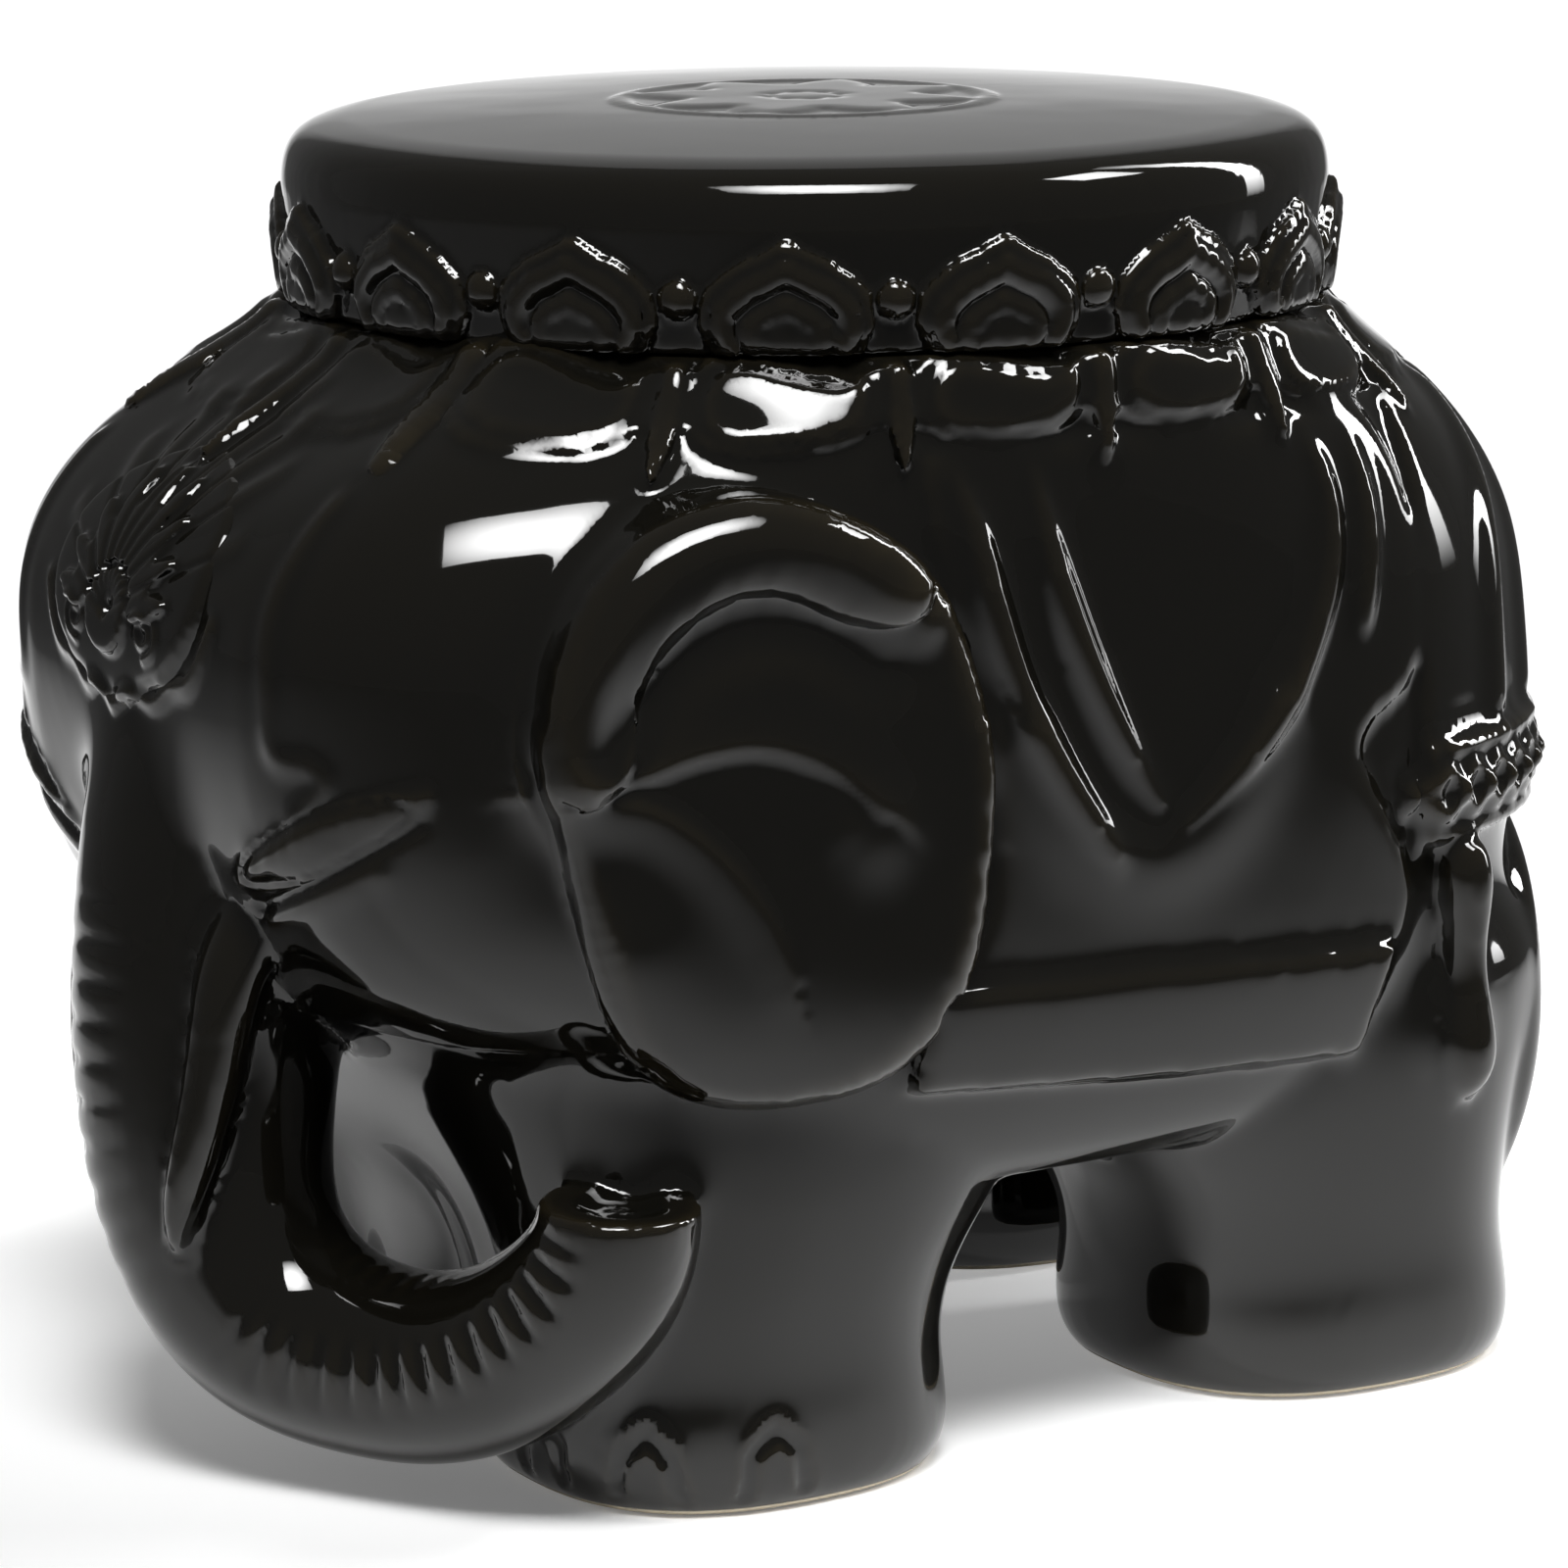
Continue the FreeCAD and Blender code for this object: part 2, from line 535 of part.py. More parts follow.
# Cloth over the rump, the belt below it, two tassels and the tail
def rear():
    x0 = REAR_FOOT_X + 2
    far = RUMP_REACH * 1.3
    low = BELLY_Z * 2.24
    high = low + BAND_H
    band = relief(box(x0, far, -far, far, low, high), BAND_LIFT, "rear")
    cloth = relief(box(x0, far, -far, far, high, NECK_Z - PAD_H - 4), CLOTH_LIFT, "rear", tips)
    keep("crupper_band", band)
    keep("rump_cloth", cloth)
    drops = []
    x = REAR_FOOT_X + 20
    for side in (-1, 1):
        y = side * HALF_W
        drop, curve = rod([(V(x, y * 0.93, low - 1), 7), (V(x + 1, y * 0.93, low - 16), 10),
                           (V(x + 2, y * 0.925, low - 36), 8), (V(x + 3, y * 0.92, low - 66), 11),
                           (V(x + 3, y * 0.91, low - 88), 4)])
        drops += less(drop, [body_form(), leg_form(REAR_FOOT_X, side), band]).Solids
    keep("rear_tassels", Part.makeCompound(drops))
    r = RUMP_REACH
    tail, curve = rod([(V(r * 0.995, -36, low + 4), 9), (V(r * 0.965, -76, low - 12), 9),
                       (V(r * 0.905, -108, low - 34), 11), (V(r * 0.85, -123, low - 60), 15),
                       (V(r * 0.83, -127, low - 86), 15), (V(r * 0.82, -130, low - 112), 9),
                       (V(r * 0.815, -130, low - 130), 2)])
    keep("tail", less(tail, [body_form(), leg_form(REAR_FOOT_X, -1), band]))


# Three nails on the front of each front foot
def toenails():
    shell = leg_form(FRONT_FOOT_X, -1, NAIL_LIFT).cut(leg_form(FRONT_FOOT_X, -1))
    nails = []
    for turn in (12, 44, 76):
        points = [(-0.17, 6), (-0.14, 21), (0, 30), (0.14, 21), (0.17, 6),
                  (0.12, 6), (0.09, 18), (0, 25), (-0.09, 18), (-0.12, 6)]
        wedge = fan_prism(points, 180 + turn, FOOT_R * 0.5, FOOT_R * 1.5, False)
        wedge.translate(V(FRONT_FOOT_X, -FOOT_Y, 0))
        nail = tidy(wedge.common(shell))
        nails += mirrored(nail).Solids + nail.cut(made["trunk"]).Solids
    keep("toenails", Part.makeCompound(nails))


# Forehead plaque with a fan of leaves, and the eyelids
def face():
    plaque = [(0, 243), (16, 250), (34, 258), (47, 272), (51, 290), (44, 308), (26, 319), (0, 325)]
    points = plaque + [(-y, z) for y, z in plaque[-2:0:-1]]
    base = relief(face_prism(points), PLAQUE_LIFT, "face", [made["trunk"], tips[-1]])
    step = math.pi / LEAVES
    boss = LEAF_ROOT - PAD_GAP * 0.6
    turns = [math.pi * i / 4 for i in range(8)]
    prisms = [face_prism([(boss * math.cos(a), LEAF_Z + boss * math.sin(a)) for a in turns])]
    for i in range(LEAVES):
        a = step * (i - (LEAVES - 1) / 2)
        tip = LEAF_R * (1 - 0.25 * abs(math.sin(a)))
        wide = LEAF_ROOT + (tip - LEAF_ROOT) * 0.55
        half = wide * math.tan(step / 2) - PAD_GAP * 0.3
        leaf = []
        for along, across in ((LEAF_ROOT, 0), (wide, half), (tip, 0), (wide, -half)):
            leaf.append((along * math.sin(a) + across * math.cos(a),
                         LEAF_Z + along * math.cos(a) - across * math.sin(a)))
        prisms.append(face_prism(leaf))
    leaves = []
    for prism in prisms:
        leaves += relief(prism, LEAF_LIFT, "face", [base, tips[-1]]).Solids
    keep("headdress_plaque", base)
    keep("headdress_leaves", Part.makeCompound(leaves))
    lid = [(-0.15, 200), (-0.05, 215), (0.05, 226), (0.15, 233), (0.06, 220), (-0.04, 207)]
    prism = fan_prism(lid, 202.3, HEAD_REACH * 0.7, HEAD_REACH * 1.2)
    left = relief(prism, LID_LIFT, "face")
    keep("left_eyelid", left)
    keep("right_eyelid", mirrored(left))


os.makedirs("parts", exist_ok=True)
castings()
chest()
seat()
medallion()
petals()
collar()
trunk()
tusks()
ears()
blanket()
rear()
face()
toenails()
for name, shape in made.items():
    shape.translate(V(FRAME_X, 0, 0))
    shape.exportStep("parts/" + name + ".step")
    print(name, shape.isValid(), len(shape.Solids), round(shape.Volume / 1000, 1))
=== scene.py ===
# %% [markdown]
# This scene dresses a ceramic garden stool in the shape of an elephant. The solids of the stool are
# loaded first as a fixed frame: they give every size and place, and nothing here moves them.

# %% Load the solids
import math

import bpy
import numpy as np
from mathutils import Matrix, Vector
from mathutils.bvhtree import BVHTree


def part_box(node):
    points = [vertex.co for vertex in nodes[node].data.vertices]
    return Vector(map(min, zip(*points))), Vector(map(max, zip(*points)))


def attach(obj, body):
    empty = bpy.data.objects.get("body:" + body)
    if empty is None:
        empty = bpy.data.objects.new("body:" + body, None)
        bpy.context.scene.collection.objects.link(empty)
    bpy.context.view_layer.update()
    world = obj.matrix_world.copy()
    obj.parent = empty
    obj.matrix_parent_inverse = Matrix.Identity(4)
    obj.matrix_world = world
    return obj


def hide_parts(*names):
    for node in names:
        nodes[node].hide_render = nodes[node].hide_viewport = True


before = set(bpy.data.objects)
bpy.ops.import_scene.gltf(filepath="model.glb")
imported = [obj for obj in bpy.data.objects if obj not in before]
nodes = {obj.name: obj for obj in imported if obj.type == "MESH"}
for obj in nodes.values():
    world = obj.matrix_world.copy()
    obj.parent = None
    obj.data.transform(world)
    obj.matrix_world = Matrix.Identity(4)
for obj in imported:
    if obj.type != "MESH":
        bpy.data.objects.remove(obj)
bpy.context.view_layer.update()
MM = 0.001
seat_low, seat_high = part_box("seat_top")
SEAT_X = (seat_low[0] + seat_high[0]) / 2
print("loaded", len(nodes), "solids, seat axis at x =", round(SEAT_X, 4))

# %% [markdown]
# A thick glaze runs over every joint of the clay before it sets, so on the real stool the sprigs and
# castings are under one continuous glassy skin with soft inner corners. It could be made by bevelling
# each solid, but a bevel stops at the solid's own edge. Here copies of the solids are joined and remeshed
# with small voxels, which melts them into one skin, and the skin is smoothed as surface tension would
# smooth it. The vents under the feet are plugged first, so that the voxels do not line the hollow inside.

# %% Melt copies of the solids into one skin
DRUM_NODES = ["seat_top", "seat_drum", "seat_medallion", "lotus_petal_band"]
CREST_NODES = ["headdress_plaque", "headdress_leaves"]
BODY_NODES = [name for name in nodes if name not in DRUM_NODES + CREST_NODES]
CRISP_NODES = ["trunk", "collar_pads"]
FAINT_NODES = ["toenails", "left_tusk", "right_tusk", "left_eyelid", "right_eyelid"]
EAR_NODES = ["left_ear", "right_ear", "left_ear_roll", "right_ear_roll"]
LEGS = ["front_left_leg", "front_right_leg", "rear_left_leg", "rear_right_leg"]
DRUM_VOXEL, CREST_VOXEL, BODY_VOXEL = 1.5, 0.9, 1.9
PLUG_R, PLUG_H, PLUG_Z = 24, 7, 9


def clear_selection():
    bpy.ops.object.select_all(action="DESELECT")


def make_active(thing):
    clear_selection()
    thing.select_set(True)
    bpy.context.view_layer.objects.active = thing


def joined_copy(name, node_names):
    copies = []
    for node_name in node_names:
        copy = nodes[node_name].copy()
        copy.data = nodes[node_name].data.copy()
        copy.parent = None
        copy.matrix_world = nodes[node_name].matrix_world.copy()
        bpy.context.scene.collection.objects.link(copy)
        copies.append(copy)
    owner = []
    for index, copy in enumerate(copies):
        owner += [index] * len(copy.data.polygons)
    clear_selection()
    for copy in copies:
        copy.select_set(True)
    bpy.context.view_layer.objects.active = copies[0]
    bpy.ops.object.join()
    whole = bpy.context.view_layer.objects.active
    bpy.ops.object.transform_apply(location=True, rotation=True, scale=True)
    whole.name = name
    whole.data.materials.clear()
    return whole, np.array(owner)


def vent_plug(leg):
    low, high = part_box(leg)
    middle = ((low[0] + high[0]) / 2, (low[1] + high[1]) / 2, PLUG_Z * MM)
    clear_selection()
    bpy.ops.mesh.primitive_cylinder_add(vertices=24, radius=PLUG_R * MM, depth=PLUG_H * MM, location=middle)
    bpy.ops.object.transform_apply(location=True, rotation=True, scale=True)
    return bpy.context.view_layer.objects.active


def melt(name, node_names, voxel, extras=()):
    whole, owner = joined_copy(name, node_names)
    mesh = whole.data
    corners = [v.co.copy() for v in mesh.vertices]
    faces = [tuple(p.vertices) for p in mesh.polygons]
    tree = BVHTree.FromPolygons(corners, faces)
    clear_selection()
    for extra in extras:
        extra.select_set(True)
    whole.select_set(True)
    bpy.context.view_layer.objects.active = whole
    if extras:
        bpy.ops.object.join()
    bpy.ops.object.mode_set(mode="EDIT")
    bpy.ops.mesh.select_all(action="SELECT")
    bpy.ops.mesh.remove_doubles(threshold=0.00001)
    bpy.ops.object.mode_set(mode="OBJECT")
    remesh = whole.modifiers.new("melt", "REMESH")
    remesh.mode = "VOXEL"
    remesh.voxel_size = voxel
    bpy.ops.object.modifier_apply(modifier=remesh.name)
    print("melted", name, len(whole.data.polygons), "faces")
    return whole, tree, owner


plugs = [vent_plug(leg) for leg in LEGS]
drum_skin, drum_tree, drum_owner = melt("drum_skin", DRUM_NODES, DRUM_VOXEL * MM)
crest_skin, crest_tree, crest_owner = melt("crest_skin", CREST_NODES, CREST_VOXEL * MM)
body_skin, body_tree, body_owner = melt("body_skin", BODY_NODES, BODY_VOXEL * MM, plugs)

# %% [markdown]
# Molten glaze pulls every corner round, wide joints more than fine carving. Blender's Smooth modifier
# works the whole mesh alike, so the smoothing is done on the points themselves: each point moves toward
# the middle of its neighbours by a weight, and the weight is small on the carved parts. Only points with
# a weight are worked on, which keeps long smoothing of a small place quick.

# %% Write the softening brush
PULL = 0.5
LIGHT_PULL = 0.3
NO_PULL = 0.001


def points_of(skin, kind="co"):
    out = np.empty(len(skin.data.vertices) * 3)
    skin.data.vertices.foreach_get(kind, out)
    return out.reshape(-1, 3)


def put_points(skin, places):
    skin.data.vertices.foreach_set("co", places.ravel())
    skin.data.update()


def neighbours_of(skin):
    pairs = np.empty(len(skin.data.edges) * 2, dtype=int)
    skin.data.edges.foreach_get("vertices", pairs)
    pairs = pairs.reshape(-1, 2)
    return pairs, np.bincount(pairs.ravel(), minlength=len(skin.data.vertices))


def middle_of_neighbours(values, pairs, links):
    total = np.zeros_like(values)
    for k in range(values.shape[1]):
        total[:, k] = np.bincount(pairs[:, 0], values[pairs[:, 1], k], len(values))
        total[:, k] += np.bincount(pairs[:, 1], values[pairs[:, 0], k], len(values))
    return total / links[:, None]


def soften(skin, weight, rounds):
    pairs = neighbours_of(skin)[0]
    places = points_of(skin)
    weight = np.where(weight > NO_PULL, weight, 0)
    near = pairs[(weight[pairs] > 0).any(axis=1)]
    used, local = np.unique(near, return_inverse=True)
    local = local.reshape(-1, 2)
    count = np.bincount(local.ravel(), minlength=len(used))
    part = places[used]
    for _ in range(rounds):
        part += weight[used, None] * (middle_of_neighbours(part, local, count) - part)
    places[used] = part
    put_points(skin, places)


def soften_all(skin, rounds):
    soften(skin, np.full(len(skin.data.vertices), PULL), rounds)


def nearest_nodes(skin, tree, owner, node_names):
    return np.array([node_names[owner[tree.find_nearest(v.co)[2]]] for v in skin.data.vertices])


# Places in millimetres, with x counted from the axis of the seat
def side_places(skin):
    places = points_of(skin) / MM
    return places[:, 0] - SEAT_X / MM, places[:, 1], places[:, 2]


def ramp(values, start, end):
    t = np.clip((values - start) / (end - start), 0, 1)
    return t * t * (3 - 2 * t)


def between(values, start, full_start, full_end, end):
    return ramp(values, start, full_start) * (1 - ramp(values, full_end, end))


print("softening pulls a point", PULL, "of the way to its neighbours in each round")

# %% [markdown]
# The edge of the cast drum is rounded with a wet sponge before the firing. A bevel would leave an even
# arc with two lines, so the rim of the seat gets long smoothing of its own. The medallion, whose hollows
# fill with glaze, gets a little more than the rest.

# %% Round the drum
RIM_DEPTH = 26
RIM_FULL_IN = 14
RIM_FULL_DOWN = 18
RIM_ROUNDS = 150
MEDALLION_ROUNDS = 10
drum_names = nearest_nodes(drum_skin, drum_tree, drum_owner, DRUM_NODES)
soften_all(drum_skin, 3)
soften(drum_skin, PULL * (drum_names == "seat_medallion"), MEDALLION_ROUNDS)
x, y, z = side_places(drum_skin)
reach = np.hypot(x, y)
rim = ramp(reach, reach.max() - RIM_DEPTH, reach.max() - RIM_FULL_IN)
rim = rim * ramp(z, z.max() - RIM_DEPTH, z.max() - RIM_FULL_DOWN)
soften(drum_skin, PULL * rim, RIM_ROUNDS)
print("rounded the rim of the seat at", int((rim > 0.5).sum()), "points")

# %% [markdown]
# On the body the trunk, chin, haunch and the pocket behind the trunk grow out of each other with no joint
# line. They could be one sculpted mesh, but the pieces have to stay apart, so the places where they meet
# are given many rounds, each faded in and out over a range of height, length or width in millimetres.

# %% Let the joints of the body flow
FAINT_ROUNDS = 20
NAIL_ROUNDS = 30
TRUNK_ROOT_ROUNDS = 150
JOINT_ROUNDS = 100
POCKET_ROUNDS = 400
TRUNK_ROOT_Z = (205, 225, 272, 290)
CHIN_Z = (95, 112, 150, 170)
CHIN_X = -130
HAUNCH_Z = (100, 120, 170, 190)
POCKET_Z = (30, 45, 155, 170)
soften_all(crest_skin, 3)
names = nearest_nodes(body_skin, body_tree, body_owner, BODY_NODES)
is_crisp = np.isin(names, CRISP_NODES)
soften(body_skin, np.where(is_crisp, LIGHT_PULL, PULL), 4)
soften(body_skin, np.where(is_crisp, 0.0, PULL), 6)
soften(body_skin, PULL * np.isin(names, FAINT_NODES), FAINT_ROUNDS)
soften(body_skin, PULL * (names == "toenails"), NAIL_ROUNDS)
x, y, z = side_places(body_skin)
trunk_root = ramp(-x, 170, 200) * between(z, *TRUNK_ROOT_Z) * (1 - ramp(np.abs(y), 62, 74))
soften(body_skin, PULL * trunk_root, TRUNK_ROOT_ROUNDS)
x, y, z = side_places(body_skin)
plain = np.isin(names, LEGS + ["torso_shell", "head_shell", "chest_web"])
chin = plain * between(z, *CHIN_Z) * (1 - ramp(np.abs(x - CHIN_X), 40, 60))
haunch = plain * between(z, *HAUNCH_Z) * ramp(x, 105, 135)
pocket = plain * ramp(-x, 85, 105) * (1 - ramp(np.abs(y), 90, 110)) * between(z, *POCKET_Z)
soften(body_skin, PULL * np.maximum(chin, haunch), JOINT_ROUNDS)
soften(body_skin, PULL * pocket, POCKET_ROUNDS)
flowing = int((chin + haunch + pocket > 0.5).sum())
print("softened", int(is_crisp.sum()), "carved points and", flowing, "flowing ones")

# %% [markdown]
# The potter tools folds, creases and lids into the leather-hard clay by hand. Each such mark is a stroke:
# a path drawn on the side or the face, a width, and a height that is positive for a raised line and
# negative for a crease. Editing edges for every mark would need a very fine mesh, so the skin itself is
# pushed in and out along its normals, as a sculpting brush does.

# %% Write the modelling stroke
def nearest_on(path, a, b):
    best = np.full(len(a), 1e9)
    side = np.zeros(len(a))
    along = np.zeros(len(a))
    for i, ((a0, b0), (a1, b1)) in enumerate(zip(path, path[1:])):
        da, db = a1 - a0, b1 - b0
        t = np.clip(((a - a0) * da + (b - b0) * db) / (da * da + db * db), 0, 1)
        away = np.hypot(a - a0 - t * da, b - b0 - t * db)
        closer = away < best
        best = np.where(closer, away, best)
        side = np.where(closer, np.sign(da * (b - b0) - db * (a - a0)), side)
        along = np.where(closer, (i + t) / (len(path) - 1), along)
    return best, side, along


def smooth_path(path, steps=6):
    points = [path[0]] + list(path) + [path[-1]]
    out = []
    for i in range(1, len(points) - 2):
        p0, p1, p2, p3 = [np.array(p, float) for p in points[i - 1:i + 3]]
        for k in range(steps):
            t = k / steps
            out.append(tuple(0.5 * (2 * p1 + (p2 - p0) * t + (2 * p0 - 5 * p1 + 4 * p2 - p3) * t * t
                                    + (3 * p1 - p0 - 3 * p2 + p3) * t ** 3)))
    return out + [tuple(path[-1])]


# A stroke may have a wider flank on its left, and loses the share called lost by its end
def stroke(path, left, right, height, lost, a, b):
    near, side, along = nearest_on(smooth_path(path), a, b)
    width = np.where(side > 0, left, right)
    return height * np.exp(-(near / width) ** 2) * (1 - lost * along)


# The path of a curl that winds in to its middle in one and a half turns
def curl(middle, radius):
    turns = [math.radians(angle) for angle in range(-90, 451, 45)]
    shrink = [radius * (1 - 0.75 * i / (len(turns) - 1)) for i in range(len(turns))]
    return [(middle[0] + r * math.cos(t), middle[1] + r * math.sin(t)) for r, t in zip(shrink, turns)]


def push_out(skin, push):
    put_points(skin, points_of(skin) + points_of(skin, "normal") * (push * MM)[:, None])


print("a stroke is a smooth line through given points")

# %% [markdown]
# A trunk is ringed with wrinkles: faint ones down the front, and deeper short ones in a row along the
# side of the curl. Separate ridges would be many thin pieces, so each point of the trunk is measured
# along the trunk's middle line, and a groove is cut at every ring pitch where the row runs.

# %% Ring the trunk
TRUNK_LINE = [(-210, 0, 197), (-222, -1, 160), (-229, -5, 123), (-230, -12, 90), (-224, -26, 61),
              (-211, -50, 44), (-191, -88, 43), (-177, -122, 58), (-167, -145, 81), (-164, -153, 107)]
CURL_MIDDLE = np.array((-192, -78, 105))
RING_PITCH = 11.0
RING_WIDTH = 2.4
CURL_RING_DEPTH = 1.7
CURL_RING_START = (150, 175)
CURL_RING_STOP = (12, 6)
CURL_RING_SIDE = (-0.45, 0.0, 0.2, 0.5)
FRONT_RING_DEPTH = 0.5
FRONT_RING_SPAN = (20, 40, 120, 150)


def along_trunk(spots):
    best = np.full(len(spots), 1e9)
    length = np.zeros(len(spots))
    foot = np.zeros_like(spots)
    start = 0.0
    line = [np.array(p) for p in smooth_path(TRUNK_LINE)]
    for p0, p1 in zip(line, line[1:]):
        step = p1 - p0
        t = np.clip((spots - p0) @ step / (step @ step), 0, 1)
        at = p0 + t[:, None] * step
        away = np.linalg.norm(spots - at, axis=1)
        closer = away < best
        best = np.where(closer, away, best)
        length = np.where(closer, start + t * np.linalg.norm(step), length)
        foot = np.where(closer[:, None], at, foot)
        start += np.linalg.norm(step)
    return length, foot, best, start


def trunk_wrinkles(x, y, z):
    on_trunk = names == "trunk"
    spots = np.stack((x, y, z), 1)[on_trunk]
    length, foot, away, whole = along_trunk(spots)
    out = (spots - foot) / away[:, None]
    inward = CURL_MIDDLE - foot
    inward /= np.linalg.norm(inward, axis=1)[:, None]
    inside = np.einsum("ij,ij->i", out, inward)
    groove = np.exp(-(((length / RING_PITCH) % 1 - 0.5) * RING_PITCH / RING_WIDTH) ** 2)
    row = between(inside, *CURL_RING_SIDE)
    to_tip = [whole - stop for stop in CURL_RING_STOP]
    bend = CURL_RING_DEPTH * between(length, *CURL_RING_START, *to_tip) * row
    front = FRONT_RING_DEPTH * between(length, *FRONT_RING_SPAN) * ramp(-inside, 0.0, 0.4)
    push = np.zeros(len(x))
    push[on_trunk] = -groove * (bend + front)
    return push


x, y, z = side_places(body_skin)
push = trunk_wrinkles(x, y, z)
print("ringed the trunk, deepest groove", round(float(-push.min()), 2), "mm")

# %% [markdown]
# The ear has a fat rolled edge, a hollow below it and two creases. The blanket has a hanging swag, and
# the head its lids, a temple ridge and full cheeks. On the sides a path is drawn flat, as length and
# height. On the round head and rump it is drawn as on a paper wrapped round them, as the way round and
# height. After its path a mark has its left and right width, its height, and the share of the height lost
# by its end.

# %% Tool the ears, the blanket and the head
HEAD_ROUND = 250
RUMP_ROUND = 230
SIDE_MARKS = {
    "rolled edge": (
        [(-182, 240), (-180, 266), (-163, 293), (-144, 306), (-121, 309), (-97, 301), (-74, 282)],
        9, 9, 5.0, 0.3),
    "hollow under it": (
        [(-172, 246), (-163, 260), (-148, 275), (-128, 283), (-106, 280), (-88, 268)], 9, 9, -5.0, 0.4),
    "back of the ear": ([(-94, 222), (-90, 218)], 14, 14, 2.0, 0.0),
    "upper crease": (
        [(-178, 236), (-160, 241), (-144, 246), (-125, 247), (-103, 238), (-88, 225)], 12, 2.4, 3.4, 0.6),
    "lower crease": ([(-178, 234), (-160, 231), (-140, 216), (-124, 194), (-117, 176)], 2.4, 12, 3.2, 0.7),
    "swag": ([(-30, 238), (-14, 212), (8, 198), (26, 197), (46, 210), (64, 238)], 9, 15, 2.4, 0.0),
}
HEAD_MARKS = {
    "upper lid": ([(60, 199), (84, 212), (110, 226), (134, 234)], 2.6, 2.6, 2.0, 0.3),
    "slit of the eye": ([(66, 192), (92, 204), (116, 217), (132, 226)], 2.4, 2.4, -2.2, 0.3),
    "lower lid": ([(70, 187), (94, 198), (118, 210)], 3.0, 5.0, 1.6, 0.4),
    "temple ridge": (
        [(90, 312), (86, 300), (83, 283), (84, 262), (86, 244), (99, 241), (103, 236), (94, 225)],
        4.0, 4.0, 1.4, 0.2),
    "full temple": ([(104, 215), (102, 262), (106, 300), (112, 330)], 40, 40, 6.0, 0.0),
    "full cheek": ([(110, 172), (150, 178), (185, 182)], 22, 22, 3.0, 0.0),
}
EAR_LOBE_FLARE = 4.0
EAR_BACK_FLARE = 5.0
FAINT_DROP = 1.6
facing = points_of(body_skin, "normal")
front_turn = np.arctan2(np.abs(y), -x) * HEAD_ROUND
on_side = ((np.abs(y) > 95) & (np.abs(facing[:, 1]) > 0.3)).astype(float)
on_head = ((x < -120) & (front_turn < 230) & (z > 150)).astype(float)
on_ear = np.isin(names, EAR_NODES)
for path, left, right, height, lost in SIDE_MARKS.values():
    push += on_side * stroke(path, left, right, height, lost, x, z)
for path, left, right, height, lost in HEAD_MARKS.values():
    push += on_head * stroke(path, left, right, height, lost, front_turn, z)
push += on_ear * (EAR_LOBE_FLARE * (1 - ramp(z, 150, 225)) + EAR_BACK_FLARE * ramp(x, -175, -70))
push -= FAINT_DROP * np.isin(names, FAINT_NODES)
print("tooled", ", ".join([*SIDE_MARKS, *HEAD_MARKS]))

# %% [markdown]
# Over the rump the cloth hangs in soft folds down to the band, and the band is a braid of two strands
# between two raised edges. Real strands could be swept along it, but fired clay is one mass, so the braid
# is two wavy strokes that cross.

# %% Fold the rump cloth and braid the band
RUMP_FOLDS = 5
FOLD_SPACING = 36
BRAID_PITCH = 30
BRAID_SWING = 7
BRAID_END = 213
BRAID_STEP = 4
BAND_EDGE_IN = 3
BAND_EDGE_END = 200
rear_turn = np.arctan2(np.abs(y), x) * RUMP_ROUND
on_rump = ((x > 100) & (z > 150)).astype(float)
for i in range(RUMP_FOLDS):
    hem = FOLD_SPACING * (i + 0.5)
    fold = [(hem * 0.8, 322), (hem * 0.96, 280), (hem, 226)]
    push += on_rump * stroke(fold, 9, 6, 2.6, -0.3, rear_turn, z)
band_low, band_high = [corner[2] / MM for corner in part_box("crupper_band")]
band_middle = (band_low + band_high) / 2
for swing in (-BRAID_SWING, BRAID_SWING):
    strand = []
    for way in range(0, BRAID_END, BRAID_STEP):
        strand.append((way, band_middle + swing * math.sin(2 * math.pi * way / BRAID_PITCH)))
    push += on_rump * stroke(strand, 2.8, 2.8, 2.8, 0.0, rear_turn, z)
for level in (band_low + BAND_EDGE_IN, band_high - BAND_EDGE_IN):
    push += on_rump * stroke([(0, level), (BAND_EDGE_END, level)], 2.2, 2.2, 1.6, 0.0, rear_turn, z)
print("folded the cloth", RUMP_FOLDS, "times a side, band at", round(band_low), "to", round(band_high), "mm")

# %% [markdown]
# The crest on the forehead has leaves that fan up toward the collar and a shield with a scalloped rim.
# The tips of the leaves and the rim run out over the bare head, so they are pushed out of the head here,
# which saves a sprig of their own. Then all the marks are pressed at once, and the steep edge of the ear
# is smoothed, because a push leaves it rough. The petals round the drum are raised a little in the same
# way.

# %% Press the marks into the skins
CREST_FOOT = (0, 276)
LEAF_TIPS = [(0, 344), (16, 341), (31, 333), (43, 319), (52, 300)]
LEAF_BARE = 0.45
SHIELD_RIM = [(56, 278), (51, 267), (44, 259), (33, 256), (23, 250), (11, 252), (0, 246)]
PETAL_RISE = 1.8
across = np.abs(y)
for tip in LEAF_TIPS:
    root = (tip[0] * LEAF_BARE, CREST_FOOT[1] + (tip[1] - CREST_FOOT[1]) * LEAF_BARE)
    push += on_head * stroke([root, tip], 4.5, 4.5, 2.4, 0.6, across, z)
push += on_head * stroke(SHIELD_RIM, 2.6, 2.6, 2.0, 0.0, across, z)
push_out(body_skin, push)
ear_edge = on_ear & (np.abs(facing[:, 1]) < 0.8)
soften(body_skin, np.where(is_crisp, 0.0, LIGHT_PULL), 2)
soften(body_skin, PULL * ear_edge, 6)
petals = nearest_nodes(drum_skin, drum_tree, drum_owner, DRUM_NODES) == "lotus_petal_band"
push_out(drum_skin, PETAL_RISE * petals)
soften(drum_skin, PULL * petals, 1)
